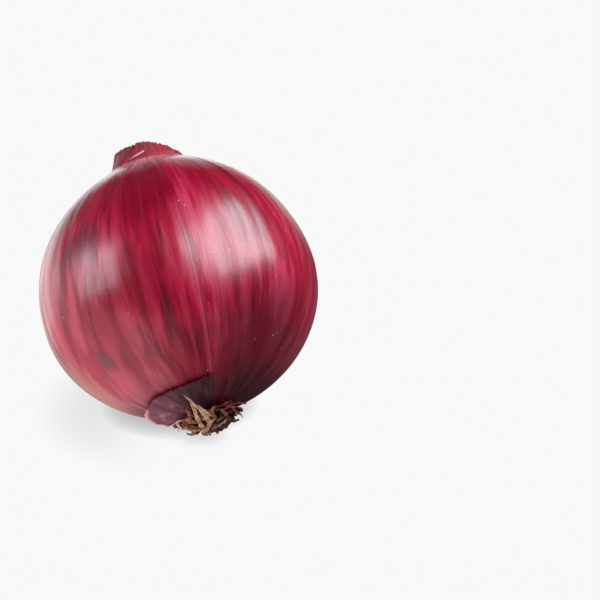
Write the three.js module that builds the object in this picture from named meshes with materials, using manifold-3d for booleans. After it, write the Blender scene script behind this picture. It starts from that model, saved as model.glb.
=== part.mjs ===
// A whole red onion, picked and dried, lying on the small flat spot of its lower side.
//
// Millimetres, +Z up. The origin is the middle of the flat spot, in the plane of the surface that
// the onion rests on. The onion's own axis lies in the YZ plane: the root end points down and
// towards -Y, and the neck points up and towards +Y.
//
// Each piece is built upright, on the onion's own axis, with the middle of the bulb at zero and
// the neck up. An angle around that axis counts from +X towards +Y. One group then leans the
// whole onion over and sets it down.

import * as THREE from "three";
import { mergeVertices } from "three/addons/utils/BufferGeometryUtils.js";
import Module from "manifold-3d";

const wasm = await Module();
wasm.setup();

const { degToRad } = THREE.MathUtils;

// ---- How the onion lies ----
const LEAN = degToRad(40.2); // between the onion's axis and the vertical
const REST_CUT = 0.65; // how deep the skin is pressed flat where the onion rests

// ---- Bulb ----
const BULB_RADIUS = 40;
const CROWN_RISE = 40; // from the widest ring to where the shoulders would close
const ROOT_DROP = 35.5; // from the widest ring to where the underside would close
const SHOULDER_FULLNESS = 0.5; // how far the shoulder swells on its fuller side
const SHOULDER_SIDE = degToRad(160);
const SWELLS = [
  // How the bulb is out of round: waves around it, height of a wave, angle of its crest
  { waves: 2, height: 0.3, side: degToRad(35) },
  { waves: 3, height: 0.2, side: degToRad(-60) },
  { waves: 5, height: 0.15, side: degToRad(10) },
];

// ---- Neck ----
const NECK_FOOT_RADIUS = 10.9;
const NECK_TIP_RADIUS = 8.4;
const NECK_HEIGHT = 5.3; // from where the shoulders would close up to the high side of the torn rim
const NECK_FILLET = 2; // softness of the hollow curve between shoulder and neck
const NECK_PLEATS = 7;
const PLEAT_DEPTH = 0.35;
const RIM_DIP = 3.3; // how much lower the rim is torn on its low side
const RIM_DIP_SIDE = degToRad(-21);
const RIM_TOOTH = 0.3; // height of the torn teeth of the rim
const RIM_TEETH = 12;
const RIM_WALL = 1.3;
const HOLLOW_DEPTH = 5.2; // from the high side of the rim down to the floor of the neck's hollow
const HOLLOW_FLOOR_RADIUS = 5.9;
const NECK_TOP = CROWN_RISE + NECK_HEIGHT;

// ---- Mesh fineness of the bulb ----
const AROUND = 48;
const BODY_RINGS = 26;
const NECK_RINGS = 4;
const SHOULDER_END = degToRad(72); // where the rings of the bulb end and those of the neck begin

// ---- Dried leaves rolled inside the neck ----
const LEAF_THICKNESS = 0.6;
const LEAF_CLEARANCE = 0.4; // to the floor of the hollow
const LEAVES = [
  // The radius is a share of the hollow's, and from and sweep are degrees around the neck
  { name: "neck_leaf_outer", share: 0.81, ripple: 0.25, ripples: 7, from: 20, sweep: 290, height: 2.9 },
  { name: "neck_leaf_middle", share: 0.54, ripple: 0.3, ripples: 5, from: 150, sweep: 250, height: 3.3 },
  { name: "neck_leaf_inner", share: 0.25, ripple: 0.25, ripples: 3, from: -40, sweep: 230, height: 2.7 },
];

// ---- Root plate ----
const PLATE_RADIUS = 6.4;
const PLATE_THICKNESS = 2;
const PLATE_CROWN = 0.7; // how far the middle of its underside stands out
const PIECE_GAP = 0.35; // between pieces that touch
const SEAT_MARGIN = 0.7; // the bulb's flat seat is wider than the plate by this, all round
const SEAT_RADIUS = PLATE_RADIUS + SEAT_MARGIN;
const SEAT_DEPTH = ROOT_DROP * Math.sqrt(1 - (SEAT_RADIUS / BULB_RADIUS) ** 2);
const PLATE_TOP = -SEAT_DEPTH - PIECE_GAP;
const PLATE_UNDERSIDE = PLATE_TOP - PLATE_THICKNESS;

// ---- Torn remnant of the outer skin around the root end ----
const TORN_EDGE = [
  // Angle around the axis in degrees, and distance from the axis
  [-219, 14.4],
  [-192, 15.4],
  [-164, 19.2],
  [-150, 21.3],
  [-122, 22],
  [-100, 23.4],
];
const FLAP_INNER_RADIUS = PLATE_RADIUS + 2.2;
const FLAP_THICKNESS = 0.4;
const SKIN_GAP = PIECE_GAP + 0.1; // between the bulb and the dry skin on it
const FLAP_LIFT = 0.7; // how far the torn edge stands off the bulb, beyond that gap

// ---- Roots and shreds of dry skin around the root plate ----
const ROOT_COUNT = 16;
const ROOT_RADIUS = 0.45;
const ROOT_LENGTH = 3.4;
const ROOT_SPREAD = 3.6; // how far the outermost roots bend outwards
const LONG_ROOT_RADIUS = 0.5;
const LONG_ROOTS = [
  // Angle around the axis in degrees, distance beyond the plate's edge, height above the dry skin
  [[-114, -1, 1.6], [-114, 2.1, 1.9], [-117, 6.6, 1.1], [-124, 14.2, 0]],
  [[-136, -1.1, 1.6], [-134, 1.6, 2.3], [-131, 5.1, 2], [-132, 10.6, 0.9]],
  [[-168, -1.1, 1.6], [-166, 1.6, 1.8], [-164, 4.4, 1.7], [-155, 5.3, 0.9]],
];
const SHRED_COUNT = 10;
const SHRED_LENGTH = 4.6;
const SHRED_WIDTH = 3;
const SHRED_THICKNESS = 0.4;
const SHRED_INNER_RADIUS = PLATE_RADIUS + 0.55;
const SHRED_LIFT = 0.9; // how far the tip of a shred stands off, beyond the gap
const GOLDEN_ANGLE = Math.PI * (3 - Math.sqrt(5));

const redSkin = new THREE.MeshStandardMaterial({ color: 0x8e1230, roughness: 0.35, metalness: 0 });
const drySkin = new THREE.MeshStandardMaterial({ color: 0x5c2233, roughness: 0.6, metalness: 0 });
const neckSkin = new THREE.MeshStandardMaterial({ color: 0x4a1028, roughness: 0.6, metalness: 0 });
const cork = new THREE.MeshStandardMaterial({ color: 0x8a5a34, roughness: 0.9, metalness: 0 });
const straw = new THREE.MeshStandardMaterial({ color: 0xc79a62, roughness: 0.85, metalness: 0 });

function solidOf(geometry) {
  const bare = geometry.clone();
  bare.deleteAttribute("normal");
  bare.deleteAttribute("uv");
  const merged = mergeVertices(bare, 1e-4);
  return new wasm.Manifold(
    new wasm.Mesh({
      numProp: 3,
      vertProperties: merged.attributes.position.array,
      triVerts: new Uint32Array(merged.index.array),
    }),
  );
}

function geometryOf(solid) {
  const { vertProperties, triVerts } = solid.getMesh();
  return new THREE.BufferGeometry()
    .setAttribute("position", new THREE.BufferAttribute(vertProperties, 3))
    .setIndex(new THREE.BufferAttribute(triVerts, 1));
}

function named(name, geometry, material) {
  const mesh = new THREE.Mesh(geometry, material);
  mesh.name = name;
  return mesh;
}

// Distance of the bulb's surface from the axis at a height, where the bulb is perfectly round:
// two half ellipses, joined to a tapering neck by a smooth maximum.
function roundRadius(height) {
  const drop = height > 0 ? CROWN_RISE : ROOT_DROP;
  const body = BULB_RADIUS * Math.sqrt(Math.max(0, 1 - (height / drop) ** 2));
  if (height <= 0) return body;
  const alongNeck = (height - CROWN_RISE) / (NECK_TOP - CROWN_RISE);
  const neck = THREE.MathUtils.lerp(NECK_FOOT_RADIUS, NECK_TIP_RADIUS, Math.max(0, alongNeck));
  return NECK_FILLET * Math.log(Math.exp(body / NECK_FILLET) + Math.exp(neck / NECK_FILLET));
}

// 1 on the neck, 0 on the bulb, and smooth in between.
function neckShare(height) {
  return THREE.MathUtils.smoothstep(height, 0.85 * CROWN_RISE, NECK_TOP);
}

// What the uneven growth of the bulb adds to that distance at an angle around the axis.
function unevenness(angle, height) {
  const share = roundRadius(height) / BULB_RADIUS;
  const swell = SWELLS.reduce((sum, s) => sum + s.height * Math.cos(s.waves * (angle - s.side)), 0);
  const rise = THREE.MathUtils.clamp(height / CROWN_RISE, 0, 1);
  const fullness = SHOULDER_FULLNESS * Math.cos(angle - SHOULDER_SIDE) * Math.sin(Math.PI * rise);
  const pleats = PLEAT_DEPTH * Math.cos(NECK_PLEATS * angle);
  return swell * share + fullness + pleats * neckShare(height);
}

// How far the torn rim stands above or below the top of the neck at an angle around it.
function rimRise(angle) {
  const dip = RIM_DIP * (0.5 + 0.5 * Math.cos(angle - RIM_DIP_SIDE)) ** 3;
  return RIM_TOOTH * Math.cos(RIM_TEETH * angle) - dip;
}

// The outline from the middle of the underside, up the outside, over the rim and into the hollow.
function bulbOutline() {
  const points = [new THREE.Vector2(0, -SEAT_DEPTH)];
  for (let i = 0; i <= BODY_RINGS; i++) {
    const rise = THREE.MathUtils.lerp(-Math.acos(SEAT_RADIUS / BULB_RADIUS), SHOULDER_END, i / BODY_RINGS);
    const height = Math.sin(rise) * (rise > 0 ? CROWN_RISE : ROOT_DROP);
    points.push(new THREE.Vector2(roundRadius(height), height));
  }
  const neckFoot = points.at(-1).y;
  for (let i = 1; i <= NECK_RINGS; i++) {
    const height = THREE.MathUtils.lerp(neckFoot, NECK_TOP, i / NECK_RINGS);
    points.push(new THREE.Vector2(roundRadius(height), height));
  }
  const hollowFloor = NECK_TOP - HOLLOW_DEPTH;
  points.push(new THREE.Vector2(roundRadius(NECK_TOP) - RIM_WALL, NECK_TOP));
  points.push(new THREE.Vector2(HOLLOW_FLOOR_RADIUS, hollowFloor));
  points.push(new THREE.Vector2(0, hollowFloor));
  return points;
}

// The lathe turns about Y, so it is stood up on Z before its rings are made uneven.
function bulbGeometry() {
  const geometry = new THREE.LatheGeometry(bulbOutline(), AROUND).rotateX(Math.PI / 2);
  const place = geometry.attributes.position;
  for (let i = 0; i < place.count; i++) {
    const [x, y, height] = [place.getX(i), place.getY(i), place.getZ(i)];
    const radius = Math.hypot(x, y);
    const angle = Math.atan2(y, x);
    const outward = radius > 0.01 ? (radius + unevenness(angle, height)) / radius : 1;
    const atTip = THREE.MathUtils.smoothstep(height, CROWN_RISE, NECK_TOP);
    const raised = radius > HOLLOW_FLOOR_RADIUS + 0.1 ? rimRise(angle) * atTip : 0;
    place.setXYZ(i, x * outward, y * outward, height + raised);
  }
  return geometry;
}

// The direction of the ground from an onion that stands upright in its own frame.
const DOWN = new THREE.Vector3(0, Math.sin(LEAN), -Math.cos(LEAN));

// How far the upright bulb reaches towards the ground.
function reachDown(geometry) {
  const place = geometry.attributes.position;
  const point = new THREE.Vector3();
  let reach = 0;
  for (let i = 0; i < place.count; i++) {
    reach = Math.max(reach, point.fromBufferAttribute(place, i).dot(DOWN));
  }
  return reach;
}

// Presses the lowest part of the bulb flat. floor is the flat's distance from the middle of the
// bulb, and spot is the middle of the flat in the onion's own frame.
function pressedFlat(geometry) {
  const floor = reachDown(geometry) - REST_CUT;
  const size = 3 * BULB_RADIUS;
  const below = new THREE.BoxGeometry(size, size, size)
    .translate(0, 0, -size / 2 - floor)
    .rotateX(LEAN);
  const pressed = geometryOf(solidOf(geometry).subtract(solidOf(below)));
  const face = new THREE.Box3();
  const place = pressed.attributes.position;
  for (let i = 0; i < place.count; i++) {
    const point = new THREE.Vector3().fromBufferAttribute(place, i);
    if (Math.abs(point.dot(DOWN) - floor) < 1e-3) face.expandByPoint(point);
  }
  return { pressed, floor, spot: face.getCenter(new THREE.Vector3()) };
}

// A leaf of the neck: a thin strip on edge that follows a rippled arc, inside the hollow.
function neckLeaf({ share, ripple, ripples, from, sweep, height }) {
  const radius = share * HOLLOW_FLOOR_RADIUS;
  const edge = (side) =>
    Array.from({ length: 25 }, (_, i) => {
      const along = i / 24;
      const angle = degToRad(from + sweep * along);
      const reach = radius + ripple * Math.sin(2 * Math.PI * ripples * along) + side * LEAF_THICKNESS / 2;
      return new THREE.Vector2(reach * Math.cos(angle), reach * Math.sin(angle));
    });
  const outline = new THREE.Shape([...edge(1), ...edge(-1).reverse()]);
  const foot = NECK_TOP - HOLLOW_DEPTH + LEAF_CLEARANCE;
  return new THREE.ExtrudeGeometry(outline, { depth: height, bevelEnabled: false }).translate(0, 0, foot);
}

// The corky disc that the roots grow from, under the seat of the bulb.
const underPlate = (reach) => PLATE_UNDERSIDE - PLATE_CROWN * (1 - (reach / PLATE_RADIUS) ** 2);
function rootPlate() {
  const outline = [0, 0.25, 0.5, 0.75, 1].map((share) => {
    const reach = share * PLATE_RADIUS;
    return new THREE.Vector2(reach, underPlate(reach));
  });
  outline.push(new THREE.Vector2(PLATE_RADIUS, PLATE_TOP), new THREE.Vector2(0, PLATE_TOP));
  return new THREE.LatheGeometry(outline, 24).rotateX(Math.PI / 2);
}

// A point off the underside of the bulb: at a distance from the axis, and stood off outwards.
function offUnderside(angle, reach, standOff) {
  const height = -ROOT_DROP * Math.sqrt(1 - Math.min(1, reach / BULB_RADIUS) ** 2);
  const normal = new THREE.Vector2(reach / BULB_RADIUS ** 2, height / ROOT_DROP ** 2).normalize();
  const swell = reach + unevenness(angle, height) + standOff * normal.x;
  return new THREE.Vector3(swell * Math.cos(angle), swell * Math.sin(angle), height + standOff * normal.y);
}

// A closed sheet between an inner and an outer grid of points.
function sheet(columns, rows, inner, outer) {
  const points = [];
  for (const layer of [inner, outer]) {
    for (let i = 0; i <= columns; i++) {
      for (let j = 0; j <= rows; j++) points.push(layer(i / columns, j / rows));
    }
  }
  const at = (layer, i, j) => layer * (columns + 1) * (rows + 1) + i * (rows + 1) + j;
  const faces = [];
  const quad = (a, b, c, d) => faces.push(a, c, b, a, d, c);
  for (let i = 0; i < columns; i++) {
    for (let j = 0; j < rows; j++) {
      quad(at(1, i, j), at(1, i, j + 1), at(1, i + 1, j + 1), at(1, i + 1, j));
      quad(at(0, i, j), at(0, i + 1, j), at(0, i + 1, j + 1), at(0, i, j + 1));
    }
    quad(at(0, i, 0), at(1, i, 0), at(1, i + 1, 0), at(0, i + 1, 0));
    quad(at(0, i, rows), at(0, i + 1, rows), at(1, i + 1, rows), at(1, i, rows));
  }
  for (let j = 0; j < rows; j++) {
    quad(at(0, 0, j), at(0, 0, j + 1), at(1, 0, j + 1), at(1, 0, j));
    quad(at(0, columns, j), at(1, columns, j), at(1, columns, j + 1), at(0, columns, j + 1));
  }
  return new THREE.BufferGeometry().setFromPoints(points).setIndex(faces);
}

// The remnant of outer skin hugs the underside and lifts off it towards its torn outer edge.
function skinFlap() {
  const edge = new THREE.SplineCurve(TORN_EDGE.map(([degrees, reach]) => new THREE.Vector2(degrees, reach)));
  const layer = (thickness) => (across, along) => {
    const torn = edge.getPoint(across);
    const notch = 0.35 * Math.sin(23 * across) + 0.25 * Math.sin(41 * across);
    const reach = THREE.MathUtils.lerp(FLAP_INNER_RADIUS, torn.y + notch, along);
    return offUnderside(degToRad(torn.x), reach, SKIN_GAP + FLAP_LIFT * along ** 3 + thickness);
  };
  return sheet(20, 5, layer(0), layer(FLAP_THICKNESS));
}

// A shred of dry skin: a small pointed scale that grows outwards beside the root plate.
function skinShred(i) {
  const middle = (i + 0.12 * Math.sin(5 * i)) * ((2 * Math.PI) / SHRED_COUNT);
  const length = SHRED_LENGTH * (0.8 + 0.2 * Math.sin(3.7 * i + 1));
  const overFlap = inFlap(middle) ? FLAP_THICKNESS + 2 * PIECE_GAP : 0;
  const layer = (thickness) => (across, along) => {
    const halfWidth = 0.5 * SHRED_WIDTH * Math.sqrt(1 - 0.8 * along ** 2);
    const reach = SHRED_INNER_RADIUS + length * along;
    const angle = middle + (halfWidth * (2 * across - 1)) / reach;
    return offUnderside(angle, reach, SKIN_GAP + overFlap + SHRED_LIFT * along ** 2 + thickness);
  };
  return sheet(3, 4, layer(0), layer(SHRED_THICKNESS));
}

// Whether a shred at this angle lies on the remnant of outer skin.
function inFlap(angle) {
  const margin = 0.35;
  const [from, to] = [degToRad(TORN_EDGE.at(0)[0]) - margin, degToRad(TORN_EDGE.at(-1)[0]) + margin];
  return THREE.MathUtils.euclideanModulo(angle - from, 2 * Math.PI) < to - from;
}

// A strand with a round section along a smooth curve through the given points.
function strand(points, radius, steps) {
  const section = new THREE.Shape().absarc(0, 0, radius, 0, 2 * Math.PI);
  const extrudePath = new THREE.CatmullRomCurve3(points);
  return new THREE.ExtrudeGeometry(section, { steps, extrudePath, curveSegments: 3, bevelEnabled: false });
}

// A dried root: it leaves the underside of the plate and bends outwards, the outer ones the most.
function root(i) {
  const outer = (i + 0.5) / ROOT_COUNT;
  const angle = i * GOLDEN_ANGLE;
  const start = 0.78 * PLATE_RADIUS * Math.sqrt(outer);
  const bend = ROOT_SPREAD * outer;
  const length = ROOT_LENGTH * (0.85 + 0.15 * Math.sin(2.3 * i)) * (1 - 0.5 * outer);
  const at = (sideways, down) => {
    const reach = start + sideways * bend;
    const height = underPlate(start) - PIECE_GAP - down * length;
    return new THREE.Vector3(reach * Math.cos(angle), reach * Math.sin(angle), height);
  };
  return strand([at(0, 0), at(0.05, 0.5), at(0.5, 1), at(1, 0.9)], ROOT_RADIUS, 6);
}

// A long dried root, which starts under the plate's edge and lies back over the dry skin.
function longRoot(stops) {
  const overSkin = SKIN_GAP + FLAP_LIFT + FLAP_THICKNESS + PIECE_GAP + LONG_ROOT_RADIUS;
  const points = stops.map(([degrees, beyond, above]) =>
    offUnderside(degToRad(degrees), PLATE_RADIUS + beyond, overSkin + above),
  );
  return strand(points, LONG_ROOT_RADIUS, 10);
}

const { pressed, floor, spot } = pressedFlat(bulbGeometry());

const onion = new THREE.Group();
onion.add(named("bulb", pressed, redSkin));
onion.add(named("root_plate", rootPlate(), cork));
onion.add(named("skin_flap", skinFlap(), drySkin));
LEAVES.forEach((leaf) => onion.add(named(leaf.name, neckLeaf(leaf), neckSkin)));
for (let i = 0; i < ROOT_COUNT; i++) {
  onion.add(named(`root_${i + 1}`, root(i), straw));
}
LONG_ROOTS.forEach((stops, i) => onion.add(named(`long_root_${i + 1}`, longRoot(stops), straw)));
for (let i = 0; i < SHRED_COUNT; i++) {
  onion.add(named(`skin_shred_${i + 1}`, skinShred(i), drySkin));
}

// Leaning the axis over towards +Y brings the flat spot underneath; it is then set on the origin.
onion.rotation.x = -LEAN;
onion.position.copy(spot.applyEuler(onion.rotation)).negate();
onion.position.z = floor;

const part = new THREE.Group();
part.add(onion);
export default part;
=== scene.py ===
import math

import bpy
import numpy as np
from mathutils import Matrix, Vector


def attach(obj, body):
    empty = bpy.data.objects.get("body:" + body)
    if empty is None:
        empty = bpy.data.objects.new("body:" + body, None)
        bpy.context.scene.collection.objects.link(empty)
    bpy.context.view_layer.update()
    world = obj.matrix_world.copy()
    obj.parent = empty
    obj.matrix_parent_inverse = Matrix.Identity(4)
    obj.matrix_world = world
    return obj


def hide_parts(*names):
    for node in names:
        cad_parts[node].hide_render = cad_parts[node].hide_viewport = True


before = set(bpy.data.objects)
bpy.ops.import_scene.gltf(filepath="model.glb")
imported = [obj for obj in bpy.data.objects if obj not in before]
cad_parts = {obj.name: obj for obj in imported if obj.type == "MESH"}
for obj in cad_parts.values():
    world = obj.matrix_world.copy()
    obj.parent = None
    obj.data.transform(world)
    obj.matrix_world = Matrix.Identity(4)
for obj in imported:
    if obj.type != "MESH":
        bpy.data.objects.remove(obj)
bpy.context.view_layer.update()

# ----------------------------------------
# Camera: a long lens looks a little down at the root side of the onion, which
# lies in the left part of the picture.
# ----------------------------------------
CAMERA_AZIMUTH = math.radians(-22.3)
CAMERA_HEIGHT_ANGLE = math.radians(25)
CAMERA_DISTANCE = 0.8
LENS_MM = 167.3
ONION_MIDDLE = Vector((-0.00099, -0.00432, 0.03678))
LOOK_RIGHT = 0.0343  # the point looked at lies this far to the right of the onion's middle
LOOK_DOWN = 0.0013

towards_camera = Vector((
    math.sin(CAMERA_AZIMUTH) * math.cos(CAMERA_HEIGHT_ANGLE),
    -math.cos(CAMERA_AZIMUTH) * math.cos(CAMERA_HEIGHT_ANGLE),
    math.sin(CAMERA_HEIGHT_ANGLE),
))
camera_right = Vector((math.cos(CAMERA_AZIMUTH), math.sin(CAMERA_AZIMUTH), 0))
camera_up = towards_camera.cross(camera_right)
camera_data = bpy.data.cameras.new("camera")
camera_data.lens = LENS_MM
camera_data.sensor_width = 36
camera_data.clip_start = 0.01
camera = bpy.data.objects.new("camera", camera_data)
bpy.context.collection.objects.link(camera)
camera.location = (
    ONION_MIDDLE + camera_right * LOOK_RIGHT - camera_up * LOOK_DOWN + towards_camera * CAMERA_DISTANCE
)
camera.rotation_mode = "QUATERNION"
camera.rotation_quaternion = (-towards_camera).to_track_quat("-Z", "Y")
bpy.context.scene.camera = camera
bpy.context.scene.view_settings.view_transform = "Standard"


# ----------------------------------------
# Skin of the bulb and neck: one tight papery skin, grown in a single piece
# from the root seat up over the shoulders to the torn, hollow tip of the neck.
# It is waxy and crimson, with darker and brighter streaks from neck to root.
# ----------------------------------------
MM = 0.001
LEAN = math.radians(40.2)
BULB_RADIUS = 40
CROWN_RISE = 40
ROOT_DROP = 35.5
NECK_TOP = 45.3
NECK_FOOT_RADIUS = 10.9
NECK_TIP_RADIUS = 8.4
NECK_FILLET = 2
SEAT_RADIUS = 7.1
FLOOR_DROP = 36.78  # from the middle of the bulb down to the surface below
HOLLOW_DEPTH = 5.2
HOLLOW_FLOOR_RADIUS = 6
SWELLS = [(0.3, 2, 0.61), (0.2, 3, -1.05), (0.15, 5, 0.17)]  # height in mm, how many round, first crest
FULL_SIDE = 2.79  # radians, the side of the fuller shoulder
LOW_SIDE = -0.367  # radians, where the torn rim of the neck is lowest
SKIN_AROUND = 512
SEAM_DEGREES = -290.6  # the two edges of the skin's map meet here, behind the onion


def lay_down(points):
    """Upright points in mm, leant over about X by LEAN, moved to the onion's place, in metres."""
    x, y, z = points[..., 0], points[..., 1], points[..., 2]
    leant = np.stack([
        x, y * math.cos(LEAN) + z * math.sin(LEAN), z * math.cos(LEAN) - y * math.sin(LEAN)
    ], axis=-1)
    return leant * MM + np.array(ONION_MIDDLE)


def around_axis(reach, turn, level):
    """Upright points at a reach from the axis, a turn around it in radians, and a height."""
    parts = np.broadcast_arrays(reach * np.cos(turn), reach * np.sin(turn), level)
    return np.stack(parts, axis=-1)


def smooth(low, high, value):
    """0 below low, 1 above high, and 3t^2 - 2t^3 of the share t in between."""
    t = np.clip((value - low) / (high - low), 0, 1)
    return t * t * (3 - 2 * t)


def round_radius(height):
    """Half an ellipse above and below the widest ring, joined to a tapering neck by a soft maximum:
    k ln(e^(a/k) + e^(b/k))."""
    drop = np.where(height > 0, CROWN_RISE, ROOT_DROP)
    body = BULB_RADIUS * np.sqrt(np.clip(1 - (height / drop) ** 2, 0, 1))
    share = np.clip((height - CROWN_RISE) / (NECK_TOP - CROWN_RISE), 0, 1)
    neck = NECK_FOOT_RADIUS + (NECK_TIP_RADIUS - NECK_FOOT_RADIUS) * share
    joined = NECK_FILLET * np.log(np.exp(body / NECK_FILLET) + np.exp(neck / NECK_FILLET))
    return np.where(height > 0, joined, body)


def ripple(angle, waves, along, seed):
    """A sum of cosines around the axis, one for each count of waves, whose phases drift along the
    height at seeded speeds. It closes on itself all round."""
    rng = np.random.default_rng(seed)
    total = np.zeros(np.broadcast(angle, along).shape)
    for count in waves:
        phase, drift = rng.uniform(0, 2 * np.pi), rng.uniform(-1, 1)
        total = total + np.cos(count * angle + phase + drift * along)
    return total / math.sqrt(len(waves))


def unevenness(angle, height):
    """Slow swells of the whole bulb, one fuller shoulder, shallow flutes between the veins, and
    pleats that deepen up the neck."""
    share = round_radius(height) / BULB_RADIUS
    swell = sum(size * np.cos(count * (angle - turn)) for size, count, turn in SWELLS)
    rise = np.clip(height / CROWN_RISE, 0, 1)
    fuller = 0.5 * np.cos(angle - FULL_SIDE) * np.sin(np.pi * rise)
    flutes = 0.05 * ripple(angle, [17, 23, 29, 37, 44, 53], height / 25, 3)
    neck = smooth(0.85 * CROWN_RISE, NECK_TOP, height)
    pleats = 0.22 * np.cos(7 * angle) + 0.07 * ripple(angle, [11, 16, 21, 27], height / 3, 5)
    flare = 0.9 * np.exp(-((height - 39.3) / 1.6) ** 2) * (0.5 + 0.5 * np.cos(angle - FULL_SIDE))
    return (swell + flutes) * share + fuller + pleats * neck + flare


def mesh_of_rings(name, rings, start, end, across=None, **qualities):
    """Joins rings of points, shaped (rings, points, 3), by four-sided faces, and closes both ends
    with a fan to one point. u of the map runs around a ring, and v follows across, or the ring's
    number. Each quality is a value for every point, kept as an attribute."""
    count, size, _ = rings.shape
    points = np.concatenate([rings.reshape(-1, 3), start[None], end[None]])
    row, column = np.meshgrid(np.arange(count - 1), np.arange(size), indexing="ij")
    after = (column + 1) % size
    quads = np.stack(
        [row * size + column, row * size + after, (row + 1) * size + after, (row + 1) * size + column], axis=-1
    ).reshape(-1, 4)
    around = np.arange(size)
    nxt = (around + 1) % size
    first, last = np.full(size, count * size), np.full(size, count * size + 1)
    top = (count - 1) * size
    fans = np.concatenate([
        np.stack([first, nxt, around], axis=-1),
        np.stack([last, top + around, top + nxt], axis=-1),
    ])
    v = np.linspace(0, 1, count) if across is None else across
    u_quads = np.stack([column, column + 1, column + 1, column], axis=-1).reshape(-1, 4) / size
    v_quads = np.stack([v[row], v[row], v[row + 1], v[row + 1]], axis=-1).reshape(-1, 4)
    u_fans = np.concatenate([
        np.stack([around + 0.5, around + 1, around], axis=-1),
        np.stack([around + 0.5, around, around + 1], axis=-1),
    ]) / size
    v_fans = np.concatenate([np.full((size, 3), v[0]), np.full((size, 3), v[-1])])
    a, b, c = points[fans[:, 0]], points[fans[:, 1]], points[fans[:, 2]]
    p, q, r, s = (points[quads[:, k]] for k in range(4))
    volume = np.sum(a * np.cross(b, c)) + np.sum(p * np.cross(q, r)) + np.sum(p * np.cross(r, s))
    mesh = bpy.data.meshes.new(name)
    mesh.from_pydata(points.tolist(), [], quads.tolist() + fans.tolist())
    uv = np.concatenate([
        np.stack([u_quads.ravel(), v_quads.ravel()], axis=-1),
        np.stack([u_fans.ravel(), v_fans.ravel()], axis=-1),
    ])
    mesh.uv_layers.new(name="map").data.foreach_set("uv", uv.ravel())
    for quality, values in qualities.items():
        ends = [values[0].mean(), values[-1].mean()]
        layer = mesh.attributes.new(quality, "FLOAT", "POINT")
        layer.data.foreach_set("value", np.concatenate([values.ravel(), ends]).astype(np.float32))
    mesh.polygons.foreach_set("use_smooth", np.ones(len(mesh.polygons), dtype=bool))
    if volume < 0:
        mesh.flip_normals()
    mesh.update()
    piece = bpy.data.objects.new(name, mesh)
    bpy.context.collection.objects.link(piece)
    return piece


def mesh_of_loops(name, loops, **qualities):
    """mesh_of_rings for upright loops in mm, whose fans meet in the middle of each end's loop."""
    middles = loops[[0, -1]].mean(axis=1)
    return mesh_of_rings(name, lay_down(loops), *lay_down(middles), **qualities)


# The outline runs up the outside, over the torn rim, down into the hollow and across its floor.
rise = np.radians(np.concatenate([np.linspace(-79.8, 60, 110), np.linspace(60.6, 72, 22)]))
body_height = np.sin(rise) * np.where(rise > 0, CROWN_RISE, ROOT_DROP)
neck_height = np.linspace(body_height[-1] + 0.25, NECK_TOP - 0.1, 28)
outside = np.concatenate([body_height, neck_height])
angle = np.radians(SEAM_DEGREES) + np.linspace(0, 2 * np.pi, SKIN_AROUND, endpoint=False)[None, :]
height = outside[:, None]

# The skin of the neck is wrapped: one edge runs slantwise down the front and lies on the rest.
fold_degrees = np.interp(height, [38.5, 39.8, 41.8, 44.3, 46], [-170, -159, -137, -125, -119])
degrees = np.degrees(angle)
past_fold = degrees - fold_degrees
on_neck = smooth(38.6, 40.2, height)
under = smooth(0, -3, past_fold) * smooth(-75, -40, past_fold) * on_neck
# Painted shade: a dark line along the crease where the wrapped edge lies on the rest.
crease = np.exp(-((past_fold + 1.5) / 2.2) ** 2) * on_neck
# A pale sliver of peeled skin along a small fold, with a painted highlight on it.
sliver_height = np.interp(degrees, [-140, -134, -109, -104], [39.6, 40, 41.6, 42])
sliver_half = 0.05 + 0.28 * smooth(-136, -116, degrees) * smooth(-106, -111, degrees)
sliver_ends = smooth(-137, -132, degrees) * smooth(-107, -110, degrees)
sliver = smooth(1.2, 0.6, np.abs(height - sliver_height) / sliver_half) * sliver_ends

radius = round_radius(height) + unevenness(angle, height) - 0.55 * under
dip = 3.3 * (0.5 + 0.5 * np.cos(angle - LOW_SIDE)) ** 3
teeth = 0.17 * ripple(angle, [31, 43, 58, 71, 90, 113], 0 * angle, 11)
low_lobe = smooth(-128, -131, degrees) * smooth(-190, -160, degrees)
notch = 0.5 * np.exp(-((degrees + 126) / 2.5) ** 2) + 0.35 * low_lobe
tip = smooth(CROWN_RISE, NECK_TOP, height)
raised = (teeth - notch) * tip ** 2 - dip * tip
outer = around_axis(radius, angle, height + raised)

# Inside the neck the wall thickens downwards from the thin torn rim.
rim_radius = radius[-1:]
rim_height = (height + raised)[-1:]
down = np.linspace(0, 1, 22)[:, None]
floor_height = NECK_TOP - HOLLOW_DEPTH
wall = 0.35 + 0.9 * smooth(0, 0.35, down)
inner_radius = (rim_radius - wall) * (1 - down) + down * HOLLOW_FLOOR_RADIUS
inner_radius = inner_radius + 0.14 * ripple(angle, [9, 14, 19, 26], 6 * down, 17) * smooth(0.05, 0.4, down)
inner_height = rim_height * (1 - down) + floor_height * down + 0.12 * (1 - down) ** 8
inner = around_axis(inner_radius, angle, inner_height)
basin = np.linspace(0.92, 0.15, 9)[:, None]
floor_ripple = 0.1 * ripple(angle, [5, 9, 14], 9 * basin, 19) * (1 - basin)
bottom = around_axis(basin * inner_radius[-1:], angle, floor_height + floor_ripple)
rings = np.concatenate([outer, inner, bottom])

# Where the onion lies on the surface below, its lowest part is pressed flat.
down_axis = np.array([0, math.sin(LEAN), -math.cos(LEAN)])
below = np.maximum(rings @ down_axis - FLOOR_DROP, 0)
rings = rings - below[..., None] * down_axis

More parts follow.
